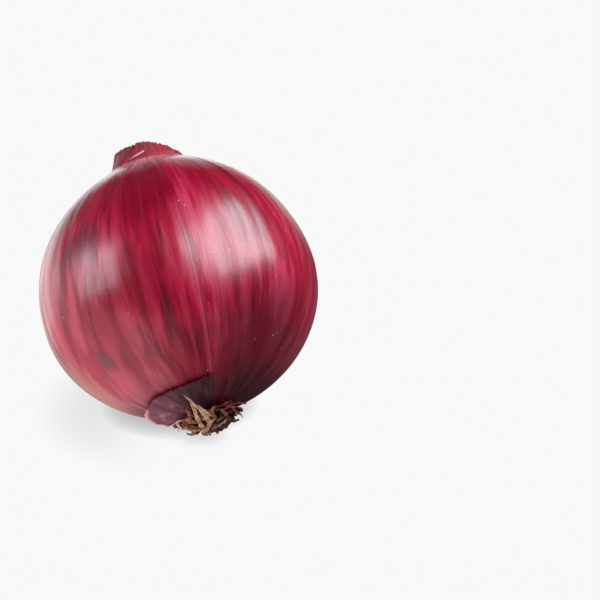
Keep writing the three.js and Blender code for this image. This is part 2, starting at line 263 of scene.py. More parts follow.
seat = np.array([0, 0, -ROOT_DROP * math.sqrt(1 - (SEAT_RADIUS / BULB_RADIUS) ** 2)])
hollow_middle = np.array([0, 0, floor_height])
blank = np.zeros((len(inner) + len(bottom), SKIN_AROUND))
skin_v = np.concatenate([
    0.5 + np.degrees(rise) / 180,
    np.linspace(0.905, 0.96, len(neck_height)),
    np.linspace(0.965, 1, len(blank)),
])
bulb = mesh_of_rings(
    "onion_skin", lay_down(rings), lay_down(seat), lay_down(hollow_middle), across=skin_v,
    neck=np.concatenate([smooth(38.2, 39.6, height) + 0 * angle, blank + 1]),
    lobe=np.concatenate([under + 0 * angle, blank]),
    crease=np.concatenate([crease, blank]),
    sliver=np.concatenate([sliver, blank]),
    hollow=np.concatenate([smooth(NECK_TOP - 0.5, NECK_TOP, height) * 0.35 + 0 * angle, blank + 1]),
)


class Tone:
    """A number or colour that changes over a surface. Ordinary arithmetic on it adds Math nodes."""

    def __init__(self, finish, socket):
        self.finish, self.socket = finish, socket

    def maths(self, operation, *values):
        return self.finish.node("Math", {"operation": operation}, dict(enumerate(values)))

    def __add__(self, other):
        return self.maths("ADD", self, other)

    def __sub__(self, other):
        return self.maths("SUBTRACT", self, other)

    def __rsub__(self, other):
        return self.maths("SUBTRACT", other, self)

    def __mul__(self, other):
        return self.maths("MULTIPLY", self, other)

    def __truediv__(self, other):
        return self.maths("DIVIDE", self, other)

    def __pow__(self, other):
        return self.maths("POWER", self, other)

    def __abs__(self):
        return self.maths("ABSOLUTE", self)

    __radd__, __rmul__ = __add__, __mul__


class Finish:
    """The nodes of a material, or of the room. node() makes any node: its settings first, then its
    sockets."""

    def __init__(self, owner, surface="Principled BSDF"):
        owner.use_nodes = True
        self.owner, self.tree = owner, owner.node_tree
        self.surface = self.tree.nodes[surface]

    def node(self, kind, settings={}, sockets={}, out=0):
        made = self.tree.nodes.new("ShaderNode" + kind)
        for key, value in settings.items():
            if key == "stops":
                self.set_stops(made.color_ramp, value)
            else:
                setattr(made, key, value)
        for key, value in sockets.items():
            self.feed(made.inputs[key], value)
        return Tone(self, made.outputs[out])

    def feed(self, socket, value):
        if isinstance(value, Tone):
            self.tree.links.new(value.socket, socket)
        else:
            socket.default_value = value

    def set_stops(self, ramp, stops):
        while len(ramp.elements) < len(stops):
            ramp.elements.new(0.5)
        for element, (place, colour) in zip(ramp.elements, sorted(stops)):
            element.position = place
            element.color = (*colour, 1)

    def mix(self, share, under, over):
        """under where share is 0 and over where it is 1, as colours."""
        return self.node("Mix", {"data_type": "RGBA"}, {0: share, 6: under, 7: over}, out=2)

    def eased(self, value, stops):
        """A number from 0 to 1 for a number from 0 to 1, eased from each stop to the next."""
        greys = [(place, (grey, grey, grey)) for place, grey in stops]
        ramp = self.node("ValToRGB", {"stops": greys}, {0: value})
        ramp.socket.node.color_ramp.interpolation = "EASE"
        return ramp

    def clamp(self, value, low=0, high=1):
        return self.node("Clamp", {}, {0: value, 1: low, 2: high})

    def step(self, low, high, value):
        """0 below low and 1 above high, smooth in between."""
        return self.node("MapRange", {"interpolation_type": "SMOOTHSTEP"}, {0: value, 1: low, 2: high})

    def quality(self, name):
        return self.node("Attribute", {"attribute_name": name}, out=2)

    def map_place(self):
        """u around and v along a piece, as two numbers."""
        uv = self.node("UVMap", {"uv_map": "map"})
        return (self.node("SeparateXYZ", {}, {0: uv}, out=axis) for axis in (0, 1))

    def own_place(self):
        """A point's own place in the onion's frame, in metres."""
        return self.node("TexCoord", out=3)

    def noise(self, place, scale=1, detail=4, roughness=0.6):
        """Noise read at a place times scale, with finer octaves added as detail grows."""
        sockets = {"Vector": place, "Scale": scale, "Detail": detail, "Roughness": roughness}
        return self.node("TexNoise", {}, sockets)

    def streaks(self, u, v, around, along, detail=2):
        """Noise stretched along a piece. It is read on a cylinder of radius around, so that it
        closes on itself, and along is its pace from end to end."""
        turn = u * (2 * math.pi)
        place = self.node("CombineXYZ", {}, {
            0: turn.maths("COSINE", turn) * around,
            1: turn.maths("SINE", turn) * around,
            2: v * along,
        })
        return self.noise(place, detail=detail, roughness=0.55)

    def bump(self, value, height, strength):
        return self.node("Bump", {}, {"Strength": strength, "Distance": height, "Height": value})

    def put_on(self, *objects, **sockets):
        """Feeds the surface's sockets, by name, and gives the objects this material."""
        for name, value in sockets.items():
            self.feed(self.surface.inputs[name.replace("_", " ")], value)
        for piece in objects:
            piece.data.materials.clear()
            piece.data.materials.append(self.owner)


def new_finish(name):
    return Finish(bpy.data.materials.new(name))


skin = new_finish("onion_skin")
u, v = skin.map_place()


def turn_share(degrees):
    """Where an angle around the axis lies on the map, from 0 to 1."""
    return (degrees - SEAM_DEGREES) / 360


def rise_share(degrees):
    """Where a rise above the widest ring lies on the map, from 0 at the root to 1."""
    return 0.5 + degrees / 180


# The streaks slant a little on the left side, and wander slightly everywhere.
wander = skin.streaks(u, v, 1.6, 7)
slant = skin.step(turn_share(-122), turn_share(-186), u) * skin.step(turn_share(-262), turn_share(-212), u)
slant = slant * (v - rise_share(35)) * 0.16
streak_u = u + (wander - 0.5) * 0.008 - slant

# Tone of each broad streak around the front, as the skin grew there, 0 dark to 1 bright.
STREAKS = [
    (-186, 0.5), (-178, 0.58), (-172, 0.5), (-168, 0.62), (-160, 0.5), (-156, 0.36), (-151, 0.74),
    (-145, 0.58), (-138, 0.54), (-130, 0.42), (-127, 0.55), (-124, 0.2), (-121, 0.46), (-115, 0.14),
    (-110, 0.46), (-106, 0.22), (-102, 0.6), (-98, 0.44), (-94, 0.78), (-89, 0.5), (-81, 0.7),
    (-76, 0.46), (-70, 0.6), (-67, 0.4), (-62, 0.64), (-56, 0.46), (-48, 0.66), (-40, 0.5),
]
placed = skin.eased(streak_u, [(turn_share(a), tone) for a, tone in STREAKS])
broad = skin.streaks(streak_u, v, 4.5, 4)
medium = skin.streaks(streak_u, v, 10, 4.6, detail=4)
fine = skin.streaks(streak_u, v, 30, 8, detail=3)
grain = skin.streaks(streak_u, v, 80, 15)
cloud = skin.streaks(u, v, 2.2, 5, detail=3)
patchy = skin.step(0.42, 0.56, medium)
tone = (
    placed * 0.66 + patchy * 0.36 + (broad - 0.5) * 0.9 + (fine - 0.5) * 0.52 + (grain - 0.5) * 0.26
    + (cloud - 0.5) * 0.5
)
low_down = skin.step(rise_share(8), rise_share(-30), v)
high_up = skin.step(rise_share(14), rise_share(44), v)
tone = tone + low_down * 0.1 - high_up * 0.12

SKIN_COLOURS = [
    (0.02, (0.155, 0, 0.013)),  # maroon
    (0.3, (0.28, 0, 0.018)),  # crimson
    (0.58, (0.42, 0.002, 0.032)),  # red
    (0.96, (0.56, 0.038, 0.088)),  # pink
]
colour = skin.node("ValToRGB", {"stops": SKIN_COLOURS}, {0: tone})


def patch(turn, rise_at, half_turn, half_rise, rough=0.5):
    """1 inside an oval patch of skin, in degrees around and along, fading over its ragged edge."""
    across = (u - turn_share(turn)) / (half_turn / 360)
    up = (v - rise_share(rise_at)) / (half_rise / 180)
    distance = (across * across + up * up) ** 0.5
    return skin.step(1.3, 0.4, distance + (ragged_edge - 0.5) * (2 * rough))


# Bruised purple patches, a warm patch where the flesh shows through, partly a painted reflection
# of the white floor, plain crimson patches on the shoulder and the front, and painted shade in deep
# red low on the right of the front.
BRUISE_DARK, BRUISE_PALE = (0.105, 0.006, 0.022, 1), (0.22, 0.046, 0.07, 1)
FLESH_AND_FLOOR_REFLECTION = (0.42, 0.17, 0.11, 1)
PLAIN_CRIMSON = (0.215, 0, 0.012, 1)
SHADE_DEEP_RED = (0.06, 0, 0.008, 1)
ragged_edge = skin.streaks(u, v, 12, 14, detail=4)
bruise = skin.clamp(
    patch(-146, 20, 10, 9, 1) * 0.7 + patch(-158, 15, 6, 8, 1) * 0.5
    + patch(-153, -32, 5, 6, 1) * 0.75 + patch(-168, 40, 18, 10) * 0.3
)
colour = skin.mix(bruise, colour, skin.mix(fine, BRUISE_DARK, BRUISE_PALE))
# Partly warm flesh showing through, partly a painted reflection of the white floor.
flesh_and_reflection = patch(-193, -42, 20, 26, 0.4)
colour = skin.mix(flesh_and_reflection * 0.6, colour, FLESH_AND_FLOOR_REFLECTION)
crimson = skin.clamp(
    patch(-113, 38, 15, 17) * 0.75 + patch(-125, -4, 13, 14) * 0.5 + patch(-62, 52, 16, 12) * 0.4
    + patch(-74, 12, 14, 12) * 0.35
)
colour = skin.mix(crimson, colour, PLAIN_CRIMSON)
# Painted shade: a deep red patch low on the right of the front, where a neighbour would keep light off the
# skin.
painted_shade_patch = patch(-70, -44, 32, 32, 0.4)
colour = skin.mix(painted_shade_patch * 0.68, colour, SHADE_DEEP_RED)

# A band of paler, drier skin runs round the foot of the neck, narrower at the front left.
# Its pale colour is partly a painted sheen, the reflection of the bright room along the crest.
PAPER_SHEEN_DARK, PAPER_SHEEN_PALE = (0.56, 0.17, 0.21, 1), (0.8, 0.46, 0.5, 1)
front_left = skin.step(turn_share(-156), turn_share(-132), u) * skin.step(turn_share(-78), turn_share(-98), u)
band_place = v + (ragged_edge - 0.5) * 0.05 - front_left * 0.045
dry_band_and_sheen = skin.step(rise_share(42), rise_share(64), band_place)
colour = skin.mix(dry_band_and_sheen * (0.56 + patchy * 0.28), colour, skin.mix(fine, PAPER_SHEEN_DARK, PAPER_SHEEN_PALE))

# Towards the root the skin dulls to brown purple, in rays.
rays = skin.streaks(u, v, 16, 3, detail=3)
root_end = skin.step(rise_share(-46), rise_share(-68), v + (rays - 0.5) * 0.06)
RAY_DARK, RAY_PALE = (0.016, 0.003, 0.006, 1), (0.13, 0.016, 0.03, 1)
ray_colour = skin.mix(skin.step(0.4, 0.62, rays), RAY_DARK, RAY_PALE)
colour = skin.mix(root_end * 0.8, colour, ray_colour)

# Thin veins run straight from neck to root, one in each share of the way round, at its own place
# and of its own strength. The strongest of them runs down the front.
VEIN_SHARES = 44
MAIN_VEIN_DEGREES = -100.4
VEIN_PINK, MAIN_VEIN_PINK, VEIN_SHADOW = (0.48, 0.07, 0.11, 1), (0.52, 0.1, 0.14, 1), (0.06, 0, 0.008, 1)
vein_turn = (u - slant + (wander - 0.5) * 0.002) * VEIN_SHARES
vein_cell = vein_turn.maths("FLOOR", vein_turn)
vein_luck = skin.node("TexWhiteNoise", {"noise_dimensions": "1D"}, {"W": vein_cell})
off_line = vein_turn - vein_cell - (vein_luck * 0.7 + 0.15)
vein_place = skin.node("CombineXYZ", {}, {0: vein_cell * 3.7, 1: v * 9, 2: 0})
vein_break = skin.noise(vein_place, detail=2, roughness=0.5)
small_vein = skin.step(0.045, 0, abs(off_line)) * skin.step(0.42, 0.6, vein_break)
main_place = u - turn_share(MAIN_VEIN_DEGREES) + (wander - 0.5) * 0.003
main_vein = skin.step(0.0016, 0.0002, abs(main_place)) * skin.step(rise_share(30), rise_share(16), v)
main_shadow = skin.step(0.0022, 0.0004, abs(main_place - 0.0022))
colour = skin.mix(small_vein * 0.22, colour, VEIN_PINK)
colour = skin.mix(main_shadow * 0.35, colour, VEIN_SHADOW)
colour = skin.mix(main_vein * 0.4, colour, MAIN_VEIN_PINK)

# Specks of dust and tiny scars.
SPECK_PINK = (0.75, 0.42, 0.45, 1)
specks = skin.node("TexVoronoi", {}, {"Vector": skin.own_place(), "Scale": 330})
speck_mask = skin.step(0.11, 0.05, specks) * skin.step(0.55, 0.6, cloud)
colour = skin.mix(speck_mask * 0.55, colour, SPECK_PINK)

# The neck is duller, its folded-under part purple, its torn rim and its inside dark and dry.
# A pale peeled sliver carries a painted highlight, and painted shade darkens the crease where the
# wrapped edge lies on the rest.
neck = skin.quality("neck")
lobe = skin.quality("lobe")
crease_shade_line = skin.quality("crease")
hollow = skin.quality("hollow")
neck_streaks = skin.streaks(u, v, 6, 14, detail=3)
NECK_DARK, NECK_RED, LOBE_PURPLE = (0.22, 0, 0.014, 1), (0.42, 0.002, 0.026, 1), (0.2, 0.022, 0.042, 1)
SLIVER_HIGHLIGHT_PINK, CREASE_SHADE = (0.8, 0.52, 0.54, 1), (0.03, 0.002, 0.006, 1)
HOLLOW_DARK, HOLLOW_PALE = (0.02, 0.005, 0.008, 1), (0.16, 0.05, 0.06, 1)
neck_colour = skin.mix(skin.step(0.35, 0.65, neck_streaks), NECK_DARK, NECK_RED)
neck_colour = skin.mix(lobe * 0.75, neck_colour, LOBE_PURPLE)
colour = skin.mix(neck * 0.92, colour, neck_colour)
colour = skin.mix(skin.quality("sliver"), colour, SLIVER_HIGHLIGHT_PINK)
colour = skin.mix(crease_shade_line * 0.85, colour, CREASE_SHADE)
colour = skin.mix(hollow * 0.9, colour, skin.mix(neck_streaks, HOLLOW_DARK, HOLLOW_PALE))

# How dull each streak is, 0 shiny to 1 dull: a waxy coat gives the skin its shine, in bands.
DULL_STREAKS = [
    (-200, 0.8), (-175, 0.6), (-168, 0.2), (-160, 0.5), (-156, 0.4), (-151, 0.1), (-148, 0), (-141, 0),
    (-139, 0.35), (-136, 0.1), (-127, 0), (-124, 0.9), (-118, 0.8), (-112, 0.6), (-105, 0.6), (-101.5, 0),
    (-98, 0), (-96.5, 0.55), (-93, 0.5), (-91, 0), (-84, 0.1), (-76, 0), (-67, 0), (-65, 0.5),
    (-61, 0.6), (-58, 0.1), (-54, 0.6), (-48, 0.3), (-40, 0.4),
]
dull = skin.eased(streak_u, [(turn_share(a), level) for a, level in DULL_STREAKS])
shine = (
    1 - dull - (fine - 0.5) * 1.3 - (grain - 0.5) * 1.2 + (patchy - 0.5) * 0.35 - root_end - neck
    - bruise * 0.2
)
roughness = (
    0.3 + dull * 0.08 + (fine - 0.5) * 0.16 + (grain - 0.5) * 0.2 + bruise * 0.05
    + root_end * 0.25 + neck * 0.2
)
height_of_fibres = fine * 0.5 + grain * 0.45 + small_vein * 0.25 + main_vein * 0.5 + medium * 0.6
fibres = skin.bump(height_of_fibres * (1 - neck * 0.6), 0.00011, 0.65)
skin.put_on(
    bulb, Base_Color=colour, Roughness=skin.clamp(roughness, 0.2, 0.9), IOR=1.5, Specular_IOR_Level=0.55,
    Coat_Weight=skin.clamp(shine), Coat_Roughness=0.27, Coat_IOR=1.5, Normal=fibres,
)
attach(bulb, "root")
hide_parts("bulb")


# ----------------------------------------
# Neck leaves: the dried ends of three inner leaves, each a thin curled ribbon
# that stands in the hollow of the neck, one inside another.
# ----------------------------------------
LEAF_THICKNESS = 0.5
LEAF_CLEARANCE = 0.4
NECK_LEAVES = [
    # name, share of the hollow's radius, first side, sweep, height, ripples
    ("outer", 0.81, 20, 290, 2.9, 7),
    ("middle", 0.54, 150, 250, 3.3, 5),
    ("inner", 0.25, -40, 230, 2.7, 3),
]


def both_faces(outer_face, inner_face=None):
    """Values along the outer face of a thin sheet, then back along its inner face."""
    inner_face = outer_face if inner_face is None else inner_face
    return np.concatenate([outer_face, inner_face[:, ::-1]], axis=1)


dry_leaf = new_finish("dried_leaf")
leaf_u, leaf_v = dry_leaf.map_place()
leaf_grain = dry_leaf.streaks(leaf_u, leaf_v, 0.8, 40, detail=4)
leaf_edge = dry_leaf.quality("edge")
LEAF_DARK, LEAF_BROWN, LEAF_RIM = (0.05, 0.009, 0.014, 1), (0.24, 0.075, 0.07, 1), (0.36, 0.16, 0.12, 1)
leaf_colour = dry_leaf.mix(dry_leaf.step(0.35, 0.7, leaf_grain), LEAF_DARK, LEAF_BROWN)
leaf_colour = dry_leaf.mix(leaf_edge * 0.6, leaf_colour, LEAF_RIM)

for number, (name, share, first, sweep, tall, ripples) in enumerate(NECK_LEAVES):
    along = np.linspace(0, 1, 120)[:, None]
    up = np.linspace(0, 1, 14)[None, :]
    side = np.radians(first + sweep * along) + 0 * up
    wave = 0.22 * np.cos(ripples * side + number)
    wave = wave + 0.1 * ripple(side, [11, 17, 23], 3 * up, 40 + number)
    mid = share * HOLLOW_FLOOR_RADIUS + wave * (0.3 + 0.7 * up) - 0.5 * up ** 2 * np.sin(np.pi * along)
    teeth = 0.25 * ripple(side, [13, 21, 34, 55], 0 * side, 60 + number)
    torn = tall * (0.88 + 0.12 * np.cos(5 * side)) + teeth
    ends = np.clip(np.minimum(along, 1 - along) / 0.06, 0, 1) ** 0.5
    foot = NECK_TOP - HOLLOW_DEPTH + LEAF_CLEARANCE
    level = foot + torn * up * (0.35 + 0.65 * ends)
    half_thick = LEAF_THICKNESS / 2 * (1 - 0.55 * up) * (0.4 + 0.6 * ends)
    outer_face = around_axis(mid + half_thick, side, level)
    inner_face = around_axis(mid - half_thick, side, level)
    edge = both_faces(smooth(0.75, 1, up) + 0 * along)
    leaf = mesh_of_loops("dried_leaf_" + name, both_faces(outer_face, inner_face), edge=edge)
    dry_leaf.put_on(leaf)
    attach(leaf, "root")
    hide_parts("neck_leaf_" + name)
dry_leaf.put_on(Base_Color=leaf_colour, Roughness=0.62, Normal=dry_leaf.bump(leaf_grain, 0.00015, 0.7))


# ----------------------------------------
# Root plate: the dry, corky disc that every root grew from. Its edge is lumpy,
# and rings of small scars and stubs cover its underside.
# ----------------------------------------
PLATE_RADIUS = 6.4
PLATE_THICKNESS = 2
PLATE_CROWN = 0.7
PLATE_TOP = -35.29
PLATE_UNDERSIDE = PLATE_TOP - PLATE_THICKNESS


def under_plate(reach):
    """Height of the plate's underside: lowest in the middle, rising by a parabola to its edge."""
    return PLATE_UNDERSIDE - PLATE_CROWN * (1 - (reach / PLATE_RADIUS) ** 2)


plate_turn = np.linspace(0, 2 * np.pi, 144, endpoint=False)[None, :]
inward = np.linspace(0.06, 0.94, 26)[:, None]
edge_rise = np.linspace(0, 1, 9)[:, None]
lump = 0.22 * ripple(plate_turn, [5, 9, 13, 18, 26], 0 * plate_turn, 71)
under_reach = inward * (PLATE_RADIUS - 0.3 + lump)
pits = 0.16 * ripple(plate_turn, [7, 12, 19, 29], 22 * inward, 73) * smooth(0, 0.25, inward)
under_face = around_axis(under_reach, plate_turn, under_plate(under_reach) + pits)
edge_reach = PLATE_RADIUS - 0.3 + lump + 0.3 * np.sin(np.pi * edge_rise) ** 0.5
edge_level = PLATE_UNDERSIDE + 0.15 + (PLATE_THICKNESS - 0.3) * edge_rise
edge_face = around_axis(edge_reach, plate_turn, edge_level)
top_reach = np.linspace(0.95, 0.1, 6)[:, None] * (PLATE_RADIUS - 0.3 + lump)
top_face = around_axis(top_reach, plate_turn, PLATE_TOP)
plate_rings = np.concatenate([under_face, edge_face, top_face])
plate = mesh_of_rings(
    "cork_plate", lay_down(plate_rings),
    lay_down(np.array([0, 0, float(under_plate(0))])), lay_down(np.array([0, 0, PLATE_TOP])),
)
cork = new_finish("dry_cork")
crumbs = cork.noise(cork.own_place(), 900, 5, 0.65)
pores = cork.node("TexVoronoi", {}, {"Vector": cork.own_place(), "Scale": 700})
CORK_DARK, CORK_TAN, PORE_DARK = (0.035, 0.012, 0.007, 1), (0.22, 0.11, 0.05, 1), (0.012, 0.004, 0.003, 1)
cork_colour = cork.mix(cork.step(0.35, 0.65, crumbs), CORK_DARK, CORK_TAN)
cork_colour = cork.mix(cork.step(0.25, 0.05, pores) * 0.7, cork_colour, PORE_DARK)
cork.put_on(plate, Base_Color=cork_colour, Roughness=0.85, Normal=cork.bump(crumbs - pores * 0.4, 0.0004, 0.9))
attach(plate, "root")
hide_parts("root_plate")


# ----------------------------------------
# Skin flap: what is left of the dry outermost skin around the root end. It is
# torn along its upper edge, where it lifts off the bulb, and grows out of the
# bulb's underside.
# ----------------------------------------
SKIN_GAP = 0.45
FLAP_THICKNESS = 0.35
FLAP_LIFT = 0.7
FLAP_INNER_RADIUS = 8.6
FLAP_START, FLAP_END = -219, -100
TORN_EDGE = [
    # side in degrees, reach from the axis
    (-219, 12.6), (-200, 14.9), (-188, 16.6), (-176, 18.6), (-164, 19.8), (-150, 21.3), (-122, 22),
    (-100, 23.4),
]


def off_underside(turn, reach, stand_off):
    """A point at a reach from the axis on the bulb's underside, moved out along its normal."""
    level = -ROOT_DROP * np.sqrt(1 - (reach / BULB_RADIUS) ** 2)
    out, down_part = reach / BULB_RADIUS ** 2, level / ROOT_DROP ** 2
    size = np.hypot(out, down_part)
    radius_there = reach + unevenness(turn, level) + stand_off * out / size
    return around_axis(radius_there, turn, level + stand_off * down_part / size)


def degrees_share(degrees):
    """An angle from a full turn back to none, as a share from 0 to 1."""
    return (degrees + 360) / 360


flap_degrees = np.linspace(FLAP_START, FLAP_END, 300)[:, None]
flap_turn = np.radians(flap_degrees)
flap_along = np.linspace(0, 1, 40)[None, :]
torn_degrees, torn_reach = zip(*TORN_EDGE)
torn = np.interp(flap_degrees, torn_degrees, torn_reach)
torn = np.convolve(np.pad(torn[:, 0], 20, mode="edge"), np.ones(41) / 41, mode="valid")[:, None]
torn = torn + 0.16 * ripple(flap_turn, [23, 37, 59, 83, 127], 0 * flap_turn, 81)
flap_reach = FLAP_INNER_RADIUS + (torn - FLAP_INNER_RADIUS) * flap_along
left_lip = smooth(-150, -180, flap_degrees)
lift = SKIN_GAP + (FLAP_LIFT - 0.35 + 0.9 * left_lip) * flap_along ** 3
folds = 0.12 * ripple(flap_turn, [9, 17, 25, 41], 4 * flap_along, 83) * smooth(0, 0.6, flap_along)
ragged_sides = smooth(FLAP_START, -215, flap_degrees) * smooth(FLAP_END, -101.5, flap_degrees)
thick = FLAP_THICKNESS * (0.35 + 0.65 * ragged_sides) * (1 - 0.5 * flap_along ** 4)
flap_inner = off_underside(flap_turn, flap_reach, lift + folds)
flap_outer = off_underside(flap_turn, flap_reach, lift + folds + thick)
flap = mesh_of_loops(
    "torn_flap", both_faces(flap_outer, flap_inner), tear=both_faces(flap_along + 0 * flap_turn),
    turn=both_faces(degrees_share(flap_degrees) + 0 * flap_along),
)
dry_skin = new_finish("dry_torn_skin")
tear = dry_skin.quality("tear")
turned = dry_skin.quality("turn")
ray_place = dry_skin.node("CombineXYZ", {}, {0: turned * 90, 1: tear * 2.2, 2: 0.3})
flap_rays = dry_skin.noise(ray_place)
dust = dry_skin.noise(dry_skin.own_place(), 240)


def flap_side(first, last):
    """0 before one side of the flap and 1 past another, in degrees."""
    return dry_skin.step(degrees_share(first), degrees_share(last), turned)


# The flap's right part takes darker tones: darker maroon skin with painted shade on it.
LEFT_DARK, LEFT_PALE = (0.125, 0.012, 0.034, 1), (0.25, 0.046, 0.086, 1)
SHADED_RIGHT_DARK, SHADED_RIGHT_PALE = (0.045, 0.005, 0.014, 1), (0.13, 0.024, 0.046, 1)
FLAKE_PINK, LIP_PINK_HIGHLIGHT, TEAR_SHADOW = (0.5, 0.2, 0.25, 1), (0.68, 0.3, 0.34, 1), (0.03, 0.002, 0.008, 1)
to_shaded_right = flap_side(-150, -128)
left_tone = dry_skin.mix(dry_skin.step(0.25, 0.75, flap_rays), LEFT_DARK, LEFT_PALE)
shaded_right_tone = dry_skin.mix(dry_skin.step(0.3, 0.7, flap_rays), SHADED_RIGHT_DARK, SHADED_RIGHT_PALE)
flap_colour = dry_skin.mix(to_shaded_right, left_tone, shaded_right_tone)
flakes = dry_skin.step(0.54, 0.62, dust) * dry_skin.step(0.15, 0.35, tear) * dry_skin.step(0.75, 0.5, tear)
flap_colour = dry_skin.mix(flakes * (1 - to_shaded_right) * 0.7, flap_colour, FLAKE_PINK)
# The pale left lip is paler torn skin with a painted highlight where it curls out.
pale_lit_lip = dry_skin.step(0.87, 0.96, tear) * flap_side(-163, -170)
# Painted shadow: a dark line along the rest of the torn edge, for the shaded gap under the lifted flap.
shadowed_edge = dry_skin.step(0.95, 0.995, tear) * flap_side(-170, -160)
flap_colour = dry_skin.mix(pale_lit_lip * 0.85, flap_colour, LIP_PINK_HIGHLIGHT)
flap_colour = dry_skin.mix(shadowed_edge * 0.7, flap_colour, TEAR_SHADOW)
dry_skin.put_on(
    flap, Base_Color=flap_colour, Roughness=0.55 + (dust - 0.5) * 0.3,
    Normal=dry_skin.bump(flap_rays + dust * 0.5, 0.0003, 0.8),
)
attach(flap, "root")
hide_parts("skin_flap")


# ----------------------------------------
# Shreds: short ragged ends of torn skin that stand around the root plate, each
# a thin tongue that narrows and lifts towards its tip.
# ----------------------------------------
SHRED_COUNT = 10
SHRED_INNER_RADIUS = 6.95
SHRED_LENGTH = 3.68
SHRED_WIDTH = 3
SHRED_THICKNESS = 0.3
FLAP_CLEARANCE = FLAP_THICKNESS + 0.7
FLAP_MIDDLE = -160
RIGHT_SIDE = math.radians(-15)

shred_skin = new_finish("ragged_skin")
shred_tear = shred_skin.quality("tear")
shred_turn = shred_skin.quality("turn")
shred_place = shred_skin.node("CombineXYZ", {}, {0: shred_turn * 120, 1: shred_tear * 1.5, 2: 1.7})
shred_rays = shred_skin.noise(shred_place)
SHRED_DARK, SHRED_RED, SHRED_TIP = (0.085, 0.006, 0.014, 1), (0.36, 0.04, 0.055, 1), (0.3, 0.1, 0.09, 1)
shred_colour = shred_skin.mix(shred_skin.step(0.35, 0.65, shred_rays), SHRED_DARK, SHRED_RED)
shred_colour = shred_skin.mix(shred_skin.step(0.75, 1, shred_tear) * 0.5, shred_colour, SHRED_TIP)
shred_skin.put_on(Base_Color=shred_colour, Roughness=0.6, Normal=shred_skin.bump(shred_rays, 0.0003, 0.8))


def near_right(middle):
    """1 for a side that faces right of the root end, 0 past about 70 degrees from it."""
    return float(smooth(0.3, 0.8, math.cos(middle - RIGHT_SIDE)))


def on_flap(middle, low, high):
    """1 for a side that the flap lies on, 0 beyond its right end, from low to high in degrees."""
    side = math.degrees(middle)
    return float(smooth(low, high, side - 360 * round((side - FLAP_MIDDLE) / 360)))


shred_out = np.linspace(0, 1, 26)[:, None]
shred_over = np.linspace(-1, 1, 15)[None, :]
for number in range(SHRED_COUNT):
    middle = math.radians((number + 0.12 * math.sin(5 * number)) * 360 / SHRED_COUNT)
    long = SHRED_LENGTH * (0.8 + 0.2 * math.sin(3.7 * number + 1)) * (1 - 0.35 * near_right(middle))
    reach = SHRED_INNER_RADIUS + long * shred_out
    torn_tip = 0.12 * ripple(shred_over * 2.5, [3, 5, 8, 13], 0 * shred_over, 100 + number)
    half_width = SHRED_WIDTH / 2 * np.sqrt(1 - 0.8 * shred_out ** 2)
    ragged = 0.1 * ripple(shred_out * 3, [5, 8, 13], shred_over, 130 + number)
    turn = middle + (half_width + ragged) * shred_over / reach
    reach = reach + torn_tip * long * shred_out
    base_off = SKIN_GAP + on_flap(middle, -100, -104) * FLAP_CLEARANCE
    standing = 0.5 + 1.1 * float(smooth(-0.6, 0.4, -math.sin(middle)))
    curl = standing * shred_out ** 1.5 + 0.5 * shred_over ** 2 * shred_out
    curl = curl + 0.16 * ripple(shred_over * 2, [2, 4, 7], 4 * shred_out, 160 + number)
    thin = SHRED_THICKNESS * (1 - 0.6 * shred_out)
    shred_inner = off_underside(turn, reach, base_off + curl)
    shred_outer = off_underside(turn, reach, base_off + curl + thin)
    shred = mesh_of_loops(
        f"ragged_shred_{number + 1}", both_faces(shred_outer, shred_inner),
        tear=both_faces(shred_out + 0 * shred_over), turn=both_faces(turn / (2 * math.pi) + number * 0.37),
    )
    shred_skin.put_on(shred)
    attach(shred, "root")
    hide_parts(f"skin_shred_{number + 1}")


# ----------------------------------------
# Frayed skin: narrow crumpled strips of old skin, left where the outer layers
# rotted away around the plate. They stand off the bulb all round, at all lengths.
# ----------------------------------------
STRIP_COUNT = 34
STRIP_FOOT = 6.75  # reach from the axis
STRIP_THICKNESS = 0.22
FRONT_SIDE = math.radians(-95)
strip_out = np.linspace(0, 1, 30)[:, None]
strip_over = np.linspace(-1, 1, 7)[None, :]
strip_luck = np.random.default_rng(77)
for number in range(STRIP_COUNT):
    middle = 2 * math.pi * (number + strip_luck.uniform(-0.35, 0.35)) / STRIP_COUNT
    towards_front = math.cos(middle - FRONT_SIDE)
    rightness = near_right(middle)
    long = strip_luck.uniform(2.2, 4.4) * (0.75 + 0.95 * max(0, towards_front) ** 2) * (1 - 0.65 * rightness)
    broad_half = strip_luck.uniform(0.7, 1.6) * (1 + 0.3 * rightness)
    off_the_ground = float(smooth(-0.9, 0.2, towards_front))
    rise_off = strip_luck.uniform(0.8, 2.4) * off_the_ground * (1 + 0.8 * rightness)
    sway = strip_luck.uniform(-0.55, 0.55)
    crumple = 0.34 * ripple(strip_out * 6, [1, 2, 3, 5], strip_over * 1.2, 300 + number)
    reach = STRIP_FOOT + strip_luck.uniform(0, 0.6) + long * strip_out
    width_there = broad_half * (1 - 0.7 * strip_out ** 2) * (1 + 0.2 * np.cos(11 * strip_out + number))
    turn = middle + sway * strip_out ** 2 + width_there * strip_over / reach
    lifted = SKIN_GAP + 0.2 + on_flap(middle, -96, -102) * FLAP_CLEARANCE
    off = lifted + rise_off * strip_out ** 1.3 + crumple * strip_out + 0.25 * strip_over ** 2
    strip_low = off_underside(turn, reach, off)
    strip_high = off_underside(turn, reach, off + STRIP_THICKNESS * (1 - 0.5 * strip_out))
    strip = mesh_of_loops(
        f"frayed_strip_{number + 1}", both_faces(strip_high, strip_low),
        tear=both_faces(strip_out + 0 * strip_over), turn=both_faces(turn / (2 * math.pi) + number * 0.29),
    )
    shred_skin.put_on(strip)
    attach(strip, "root")


